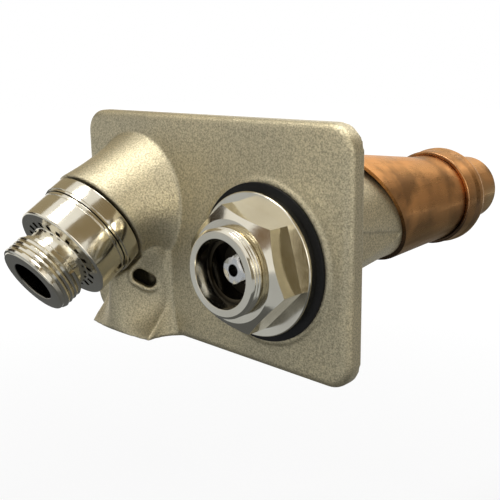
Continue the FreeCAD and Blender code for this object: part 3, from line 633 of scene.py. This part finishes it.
# geometry nodes: slots through a face and a thread round a spigot
def makeBreakerTree():
    tree, into, out = newGroup("breakerDetail", "GeometryNodeTree", [
        ("Geometry", "NodeSocketGeometry", None),
        ("Slot Count", "NodeSocketInt", 20),
        ("Slot Radius", "NodeSocketFloat", 13.0),
        ("Slot Size", "NodeSocketVector", (2.4, 1.3, 4.0)),
        ("Slot Middle", "NodeSocketFloat", 17.5),
        ("Thread Radius", "NodeSocketFloat", 12.4),
        ("Thread Height", "NodeSocketFloat", 0.9),
        ("Thread Turns", "NodeSocketFloat", 4.0),
        ("Thread Length", "NodeSocketFloat", 7.0),
        ("Thread Start", "NodeSocketFloat", 23.4),
        ("Finish", "NodeSocketMaterial", None),
    ], [("Geometry", "NodeSocketGeometry")])
    link = tree.links.new

    def lifted(mesh, height):
        move = addNode(tree, "GeometryNodeTransform")
        place = addNode(tree, "ShaderNodeCombineXYZ")
        link(height, place.inputs["Z"])
        link(place.outputs["Vector"], move.inputs["Translation"])
        link(mesh, move.inputs["Geometry"])
        return move.outputs["Geometry"]

    def around(count, radius, height, shape):
        points = addNode(tree, "GeometryNodeMeshCircle")
        link(count, points.inputs["Vertices"])
        link(radius, points.inputs["Radius"])
        spot = addNode(tree, "GeometryNodeInputPosition")
        facing = addNode(tree, "FunctionNodeAlignRotationToVector", axis="X", pivot_axis="Z")
        link(spot.outputs["Position"], facing.inputs["Vector"])
        copies = addNode(tree, "GeometryNodeInstanceOnPoints")
        link(points.outputs["Mesh"], copies.inputs["Points"])
        link(shape, copies.inputs["Instance"])
        link(facing.outputs["Rotation"], copies.inputs["Rotation"])
        real = addNode(tree, "GeometryNodeRealizeInstances")
        link(copies.outputs["Instances"], real.inputs["Geometry"])
        return lifted(real.outputs["Geometry"], height)

    cutter = addNode(tree, "GeometryNodeMeshCube")
    link(into.outputs["Slot Size"], cutter.inputs["Size"])
    cutters = around(into.outputs["Slot Count"], into.outputs["Slot Radius"], into.outputs["Slot Middle"],
                     cutter.outputs["Mesh"])
    slotted = addNode(tree, "GeometryNodeMeshBoolean", operation="DIFFERENCE", solver="EXACT")
    link(into.outputs["Geometry"], slotted.inputs["Mesh 1"])
    link(cutters, slotted.inputs["Mesh 2"])

    path = addNode(tree, "GeometryNodeCurveSpiral", {"Resolution": 72})
    link(into.outputs["Thread Turns"], path.inputs["Rotations"])
    link(into.outputs["Thread Radius"], path.inputs["Start Radius"])
    link(into.outputs["Thread Radius"], path.inputs["End Radius"])
    link(into.outputs["Thread Length"], path.inputs["Height"])
    upright = addNode(tree, "GeometryNodeSetCurveNormal", mode="Z_UP")
    link(path.outputs["Curve"], upright.inputs["Curve"])
    crest = addNode(tree, "GeometryNodeCurvePrimitiveCircle", {"Resolution": 8})
    link(into.outputs["Thread Height"], crest.inputs["Radius"])
    sweep = addNode(tree, "GeometryNodeCurveToMesh", {"Fill Caps": True})
    link(upright.outputs["Curve"], sweep.inputs["Curve"])
    link(crest.outputs["Curve"], sweep.inputs["Profile Curve"])
    thread = lifted(sweep.outputs["Mesh"], into.outputs["Thread Start"])

    whole = addNode(tree, "GeometryNodeJoinGeometry")
    for part in (thread, slotted.outputs["Mesh"]):
        link(part, whole.inputs["Geometry"])
    real = addNode(tree, "GeometryNodeRealizeInstances")
    finish = addNode(tree, "GeometryNodeSetMaterial")
    link(whole.outputs["Geometry"], real.inputs["Geometry"])
    link(real.outputs["Geometry"], finish.inputs["Geometry"])
    link(into.outputs["Finish"], finish.inputs["Material"])
    link(finish.outputs["Geometry"], out.inputs["Geometry"])
    return tree


# vacuum breaker, front half: plain band, vented face and hose spigot
def makeBreakerOutlet():
    outlet = {"rearEdge": 0.5, "face": 18.5, "edge": 0.8, "groove": 17.5, "grooveAt": 1.6, "grooveHalf": 0.2,
              "grooveEdge": 0.2, "grooveRoot": 0.1, "cavity": 15.4, "ledge": 14.0, "tubeTop": 14.35,
              "floor": 16.5, "tube": 9.6, "boreEdge": 0.4, "neck": 11.3, "neckRoot": 0.4, "neckEnd": 22.7,
              "core": 12.35, "coreStep": 0.2, "stepEdge": 0.3, "endEdge": 0.5, "segments": 120}
    rear, end, bore, radius = measure("breaker_outlet", outletLine)
    groove = rear + outlet["grooveAt"]
    detail = {"Slot Count": 20, "Slot Radius": 12.9, "Slot Size": (2.2, 1.8, 5.0), "Slot Middle": 17.5,
              "Thread Radius": 12.35, "Thread Height": 0.93, "Thread Turns": 3.9, "Thread Length": 7.0,
              "Thread Start": 23.7, "Finish": materials["outletChrome"]}
    mesh = turnedMesh("breakerOutlet", [
        (outlet["cavity"], rear, 0),
        (radius, rear, outlet["rearEdge"]),
        (radius, groove - outlet["grooveHalf"], outlet["grooveEdge"]),
        (outlet["groove"], groove, outlet["grooveRoot"]),
        (radius, groove + outlet["grooveHalf"], outlet["grooveEdge"]),
        (radius, outlet["face"], outlet["edge"]),
        (outlet["neck"], outlet["face"], outlet["neckRoot"]),
        (outlet["neck"], outlet["neckEnd"], outlet["stepEdge"]),
        (outlet["core"], outlet["neckEnd"] + outlet["coreStep"], outlet["stepEdge"]),
        (outlet["core"], end, outlet["endEdge"]),
        (bore, end, outlet["boreEdge"]),
        (bore, outlet["tubeTop"], 0),
        (outlet["tube"], outlet["tubeTop"], 0),
        (outlet["tube"], outlet["floor"], 0),
        (outlet["ledge"], outlet["floor"], 0),
        (outlet["ledge"], outlet["tubeTop"], 0),
        (outlet["cavity"], outlet["tubeTop"], 0),
    ], Matrix.Identity(4), outlet["segments"])
    obj = linkObject("breakerOutlet", mesh, materials["outletChrome"])
    tree = makeBreakerTree()
    modifier = obj.modifiers.new("breakerDetail", "NODES")
    modifier.node_group = tree
    for item in tree.interface.items_tree:
        if item.in_out == "INPUT" and item.name in detail:
            modifier[item.identifier] = detail[item.name]
    whole = bakeModifiers(obj)
    whole.transform(outletLine)
    softShade(whole)
    standFor(obj, "hydrant_body", "breaker_outlet")
    print("breaker faces:", len(whole.polygons))


makeBreakerOutlet()


# copper casing behind the plate: it narrows to the rear, and its slanted mouth sits over the boss
def makeCasingTube():
    tube = {"outer": 16.8, "mouth": 19.6, "lift": 2.0, "wall": 1.4, "front": 44.0, "taper": 38.0,
            "slope": 0.6, "level": 4.0, "rows": 24, "segments": 160}
    back = measure("casing_tube", casingLine)[1]
    above = wallPoint("inlet_cup").z / mm + tube["lift"] - tube["level"]
    narrowing = tube["outer"] - tube["mouth"]
    last = (back - tube["front"]) / tube["taper"]
    rows = []
    for inside in (False, True):
        mouth = tube["mouth"] - (tube["wall"] if inside else 0)
        steps = range(tube["rows"] + 1)
        for step in reversed(steps) if inside else steps:
            ring = []
            for side in range(tube["segments"]):
                turn = 2 * math.pi * side / tube["segments"]
                up = -math.sin(turn)
                slant = tube["taper"] + tube["slope"] * (narrowing * up - tube["lift"])
                first = -tube["slope"] * (above + mouth * up) / slant     # where the mouth cuts this line
                share = first + (last - first) * step / tube["rows"]
                radius = mouth + narrowing * min(1.0, share)
                rise = tube["lift"] * (1 - min(1.0, share))
                ring.append((radius * math.cos(turn), radius * math.sin(turn) - rise,
                             tube["front"] + tube["taper"] * share))
            rows.append(ring)
    mesh = ringMesh("casingTube", rows, casingLine, tube["segments"])
    softShade(mesh)
    body = linkObject("casingTube", mesh, materials["copperTube"])
    standFor(body, "hydrant_body", "casing_tube")


makeCasingTube()


# reducing coupling at the rear end, with a bead round its shoulder and a cup for the supply pipe
def makeCoupling():
    coupling = {"socket": 16.85, "socketEdge": 0.3, "outer": 18.25, "frontEdge": 0.6, "beadFront": 96.0,
                "beadBack": 102.0, "beadHalf": 1.0, "beadRound": 1.6, "beadFoot": 1.5, "shoulder": 99.0,
                "shoulderRound": 2.0, "cone": 14.95, "coneEdge": 0.5, "cup": 13.05, "cupRoot": 2.5,
                "cupBore": 11.15, "cupFront": 108.0, "endEdge": 0.6, "stopBack": 111.0, "stopEdge": 0.4,
                "stopRound": 2.0}
    front, end, stop, bead = measure("inlet_coupling", casingLine)
    mesh = turnedMesh("inletCoupling", [
        (coupling["socket"], front, coupling["socketEdge"]),
        (coupling["outer"], front, coupling["frontEdge"]),
        (coupling["outer"], coupling["beadFront"], coupling["beadFoot"]),
        (bead, coupling["shoulder"] - coupling["beadHalf"], coupling["beadRound"]),
        (bead, coupling["shoulder"] + coupling["beadHalf"], coupling["beadRound"]),
        (coupling["outer"], coupling["beadBack"], coupling["shoulderRound"]),
        (coupling["cup"], coupling["cupFront"], coupling["cupRoot"]),
        (coupling["cup"], end, coupling["endEdge"]),
        (coupling["cupBore"], end, coupling["endEdge"]),
        (coupling["cupBore"], coupling["stopBack"], 0),
        (stop, coupling["stopBack"], coupling["stopEdge"]),
        (stop, coupling["cupFront"], coupling["stopRound"]),
        (coupling["cone"], coupling["shoulder"], coupling["coneEdge"]),
        (coupling["socket"], coupling["shoulder"], 0),
    ], casingLine)
    body = linkObject("inletCoupling", mesh, materials["copperTube"])
    standFor(body, "hydrant_body", "inlet_coupling")


makeCoupling()
print("pieces made")


# 1 for rays that the camera, a reflection or glass sends
def seenRay(tree):
    path = addNode(tree, "ShaderNodeLightPath")
    first = addNode(tree, "ShaderNodeMath", operation="MAXIMUM")
    second = addNode(tree, "ShaderNodeMath", operation="MAXIMUM")
    tree.links.new(path.outputs["Is Camera Ray"], first.inputs[0])
    tree.links.new(path.outputs["Is Glossy Ray"], first.inputs[1])
    tree.links.new(first.outputs["Value"], second.inputs[0])
    tree.links.new(path.outputs["Is Transmission Ray"], second.inputs[1])
    return second.outputs["Value"]


def flatMesh(name, width, height):
    right = width / 2
    top = height / 2
    mesh = bpy.data.meshes.new(name)
    mesh.from_pydata([(-right, -top, 0), (right, -top, 0), (right, top, 0), (-right, top, 0)], [],
                     [(0, 1, 2, 3)])
    return mesh


# pale floor: it glows white to the camera far out and less near the object, which keeps the shadow there
def makeFloor():
    floor = {"level": -0.16, "size": 6.0, "colour": (0.82, 0.82, 0.82), "roughness": 0.8, "glow": 1.07,
             "glowNear": 0.6, "shadowRange": (0.22, 0.6)}
    mesh = flatMesh("floor", floor["size"], floor["size"])
    mesh.transform(Matrix.Translation((0, 0, floor["level"])))
    material = bpy.data.materials.new("paleFloor")
    material.use_nodes = True
    tree = material.node_tree
    shader = tree.nodes["Principled BSDF"]
    shader.inputs["Base Color"].default_value = (*floor["colour"], 1.0)
    shader.inputs["Roughness"].default_value = floor["roughness"]
    glow = addNode(tree, "ShaderNodeEmission", {"Strength": floor["glow"]})
    place = addNode(tree, "ShaderNodeTexCoord")
    away = addNode(tree, "ShaderNodeVectorMath", operation="LENGTH")
    tree.links.new(place.outputs["Object"], away.inputs[0])
    farOut = ranged(tree, away.outputs["Value"], floor["glowNear"], 1.0, *floor["shadowRange"])
    share = addNode(tree, "ShaderNodeMath", operation="MULTIPLY")
    blend = addNode(tree, "ShaderNodeMixShader")
    tree.links.new(seenRay(tree), share.inputs[0])
    tree.links.new(farOut, share.inputs[1])
    tree.links.new(share.outputs["Value"], blend.inputs["Fac"])
    tree.links.new(shader.outputs["BSDF"], blend.inputs[1])
    tree.links.new(glow.outputs["Emission"], blend.inputs[2])
    tree.links.new(blend.outputs["Shader"], tree.nodes["Material Output"].inputs["Surface"])
    linkObject("floor", mesh, material)


# world: soft light on the object, plain white where it is seen
def makeWorld():
    sky = {"colour": (1.0, 1.0, 1.0), "ambient": 0.5, "seen": 1.0}
    world = bpy.data.worlds.new("studio")
    bpy.context.scene.world = world
    world.use_nodes = True
    tree = world.node_tree
    tree.nodes.clear()
    colour = (*sky["colour"], 1.0)
    soft = addNode(tree, "ShaderNodeBackground", {"Color": colour, "Strength": sky["ambient"]})
    white = addNode(tree, "ShaderNodeBackground", {"Color": colour, "Strength": sky["seen"]})
    blend = addNode(tree, "ShaderNodeMixShader")
    out = addNode(tree, "ShaderNodeOutputWorld")
    tree.links.new(seenRay(tree), blend.inputs["Fac"])
    tree.links.new(soft.outputs["Background"], blend.inputs[1])
    tree.links.new(white.outputs["Background"], blend.inputs[2])
    tree.links.new(blend.outputs["Shader"], out.inputs["Surface"])


# soft lamps: one above in front, one at the right and one above behind
def makeLamps():
    lamps = {
        "keyLamp": {"place": (-0.12, -0.22, 0.80), "size": 0.30, "power": 2.4},
        "fillLamp": {"place": (0.75, -0.35, 0.25), "size": 0.6, "power": 1.2},
        "topLamp": {"place": (0.15, 0.25, 0.85), "size": 0.4, "power": 2.5},
    }
    target = Vector((-0.02, 0.0, 0.0))
    for name, lamp in lamps.items():
        data = bpy.data.lights.new(name, "AREA")
        data.shape = "DISK"
        data.size = lamp["size"]
        data.energy = lamp["power"]
        obj = bpy.data.objects.new(name, data)
        bpy.context.collection.objects.link(obj)
        obj.location = lamp["place"]
        aim = target - Vector(lamp["place"])
        obj.rotation_euler = aim.to_track_quat("-Z", "Y").to_euler()


# toned cards that only reflections see, so the chrome has a room to mirror
def makeCards():
    reach = 0.9                                      # from the hydrant to each standing card
    standing = {
        "cardLeft": {"aim": (-0.82, 0.20, 0.50), "size": (0.9, 0.8), "tone": (0.38, 0.32, 0.21)},
        "cardRight": {"aim": (0.72, 0.10, 0.68), "size": (0.9, 0.7), "tone": (0.28, 0.22, 0.13)},
        "cardBack": {"aim": (0.80, 0.52, 0.18), "size": (0.8, 0.9), "tone": (0.19, 0.16, 0.11)},
        "cardSide": {"aim": (0.72, -0.68, 0.12), "size": (0.6, 0.7), "tone": (0.20, 0.17, 0.11)},
        "cardRear": {"aim": (0.45, 0.86, 0.14), "size": (0.9, 0.5), "tone": (0.40, 0.38, 0.35)},
        "cardGleam": {"aim": (-0.05, 0.84, 0.54), "size": (0.8, 0.14), "tone": (2.1, 2.0, 1.9)},
        "cardFar": {"aim": (-0.88, -0.36, 0.28), "size": (0.55, 0.34), "tone": (0.06, 0.05, 0.04)},
        "cardFront": {"aim": (-0.66, -0.72, -0.05), "size": (0.9, 0.5), "tone": (0.55, 0.555, 0.555)},
        "cardHigh": {"aim": (0.0, -0.92, 0.39), "size": (0.36, 0.28), "tone": (0.22, 0.15, 0.09)},
    }
    lying = {                                        # just above the floor
        "cardTable": {"place": (-0.20, -0.68, -0.155), "size": (2.0, 1.1), "tone": (0.49, 0.515, 0.55)},
        # painted shadow: a dark sheet under the hydrant that reflections see in place of its shadow on the
        # floor
        "cardShadow": {"place": (-0.10, -0.03, -0.153), "size": (1.0, 0.28), "tone": (0.11, 0.115, 0.12)},
        "cardUnder": {"place": (0.0, 0.48, -0.155), "size": (1.6, 0.78), "tone": (0.34, 0.345, 0.35)},
    }
    for name, card in standing.items():
        aim = Vector(card["aim"]).normalized()
        turn = (-aim).to_track_quat("-Z", "Y").to_matrix().to_4x4()
        makeCard(name, card, Matrix.Translation(aim * reach) @ turn)
    for name, card in lying.items():
        makeCard(name, card, Matrix.Translation(card["place"]))


def makeCard(name, card, place):
    material = bpy.data.materials.new(name)
    material.use_nodes = True
    tree = material.node_tree
    tree.nodes.remove(tree.nodes["Principled BSDF"])
    glow = addNode(tree, "ShaderNodeEmission", {"Color": (*card["tone"], 1.0), "Strength": 1.0})
    tree.links.new(glow.outputs["Emission"], tree.nodes["Material Output"].inputs["Surface"])
    mesh = flatMesh(name, *card["size"])
    mesh.transform(place)
    obj = linkObject(name, mesh, material)
    obj.visible_camera = False
    obj.visible_shadow = False
    obj.visible_diffuse = False


# camera at the photograph's viewing angle
def makeCamera():
    view = {"place": (0.1755, -0.1671, 0.0592), "lens": 53.7, "shiftX": -0.0208, "shiftY": -0.0488,
            "forward": (-0.6626, 0.7177, -0.2141), "right": (0.7364, 0.6764, -0.0119)}
    data = bpy.data.cameras.new("photoCamera")
    data.sensor_width = 36.0
    data.lens = view["lens"]
    data.shift_x = view["shiftX"]
    data.shift_y = view["shiftY"]
    data.clip_start = 0.01
    data.clip_end = 20.0
    obj = bpy.data.objects.new("photoCamera", data)
    bpy.context.collection.objects.link(obj)
    back = -Vector(view["forward"]).normalized()
    right = Vector(view["right"])
    right = (right - back * right.dot(back)).normalized()
    upward = back.cross(right)
    turn = Matrix((right, upward, back)).transposed().to_4x4()
    obj.matrix_world = Matrix.Translation(view["place"]) @ turn
    bpy.context.scene.camera = obj


makeFloor()
makeWorld()
makeLamps()
makeCards()
makeCamera()
bpy.context.scene.view_settings.view_transform = "Standard"
print("stage made")

bpy.context.view_layer.update()
